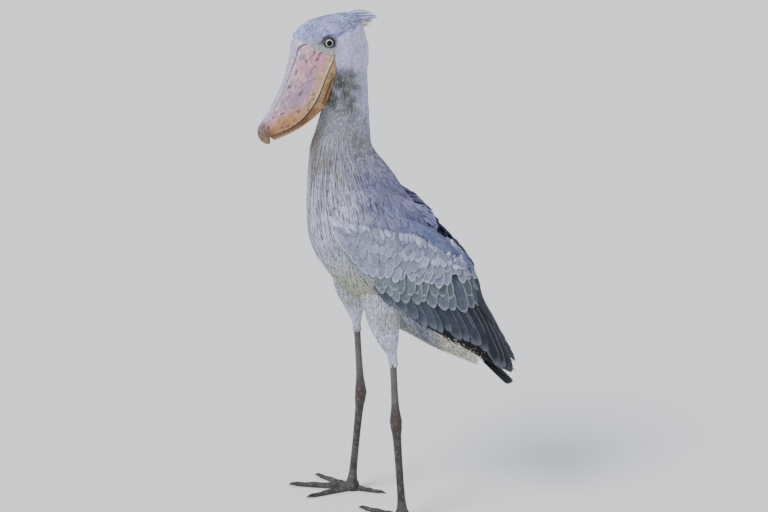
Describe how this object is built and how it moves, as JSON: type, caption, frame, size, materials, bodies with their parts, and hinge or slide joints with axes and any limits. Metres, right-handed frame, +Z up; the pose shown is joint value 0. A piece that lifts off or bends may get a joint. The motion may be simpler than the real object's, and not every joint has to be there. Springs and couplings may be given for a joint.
{
  "type": "shoebill",
  "caption": "Life-size still model of a grown shoebill standing in a slow stride, its heavy bill turned down.",
  "frame": {"origin": "on the floor, under the middle of the bird's bounding box", "axes": "+Z up, -Y the way the bird walks, +X its left side"},
  "size_m": [0.3572, 0.6144, 1.2169],
  "materials": {
    "plumage": "soft blue-grey feathers",
    "pale_plumage": "downy pale grey feathers",
    "flight_feathers": "slate-grey vanes",
    "bill": "mottled horn, dull sheen",
    "eye": "wet gloss",
    "leg_skin": "scaly skin",
    "claw": "dull horn"
  },
  "bodies": {
    "root": {"upper_bill": "bill", "lower_bill": "bill", "head": "plumage", "neck": "plumage", "torso": "plumage", "tail": "flight_feathers", "left_eye": "eye", "left_wing": "flight_feathers", "left_thigh": "pale_plumage", "left_shank": "leg_skin", "left_tarsus": "leg_skin", "left_foot": "leg_skin", "left_toe_inner": "leg_skin", "left_claw_inner": "claw", "left_toe_middle": "leg_skin", "left_claw_middle": "claw", "left_toe_outer": "leg_skin", "left_claw_outer": "claw", "left_toe_hind": "leg_skin", "left_claw_hind": "claw", "right_eye": "eye", "right_wing": "flight_feathers", "right_thigh": "pale_plumage", "right_shank": "leg_skin", "right_tarsus": "leg_skin", "right_foot": "leg_skin", "right_toe_inner": "leg_skin", "right_claw_inner": "claw", "right_toe_middle": "leg_skin", "right_claw_middle": "claw", "right_toe_outer": "leg_skin", "right_claw_outer": "claw", "right_toe_hind": "leg_skin", "right_claw_hind": "claw"}
  },
  "joints": []
}
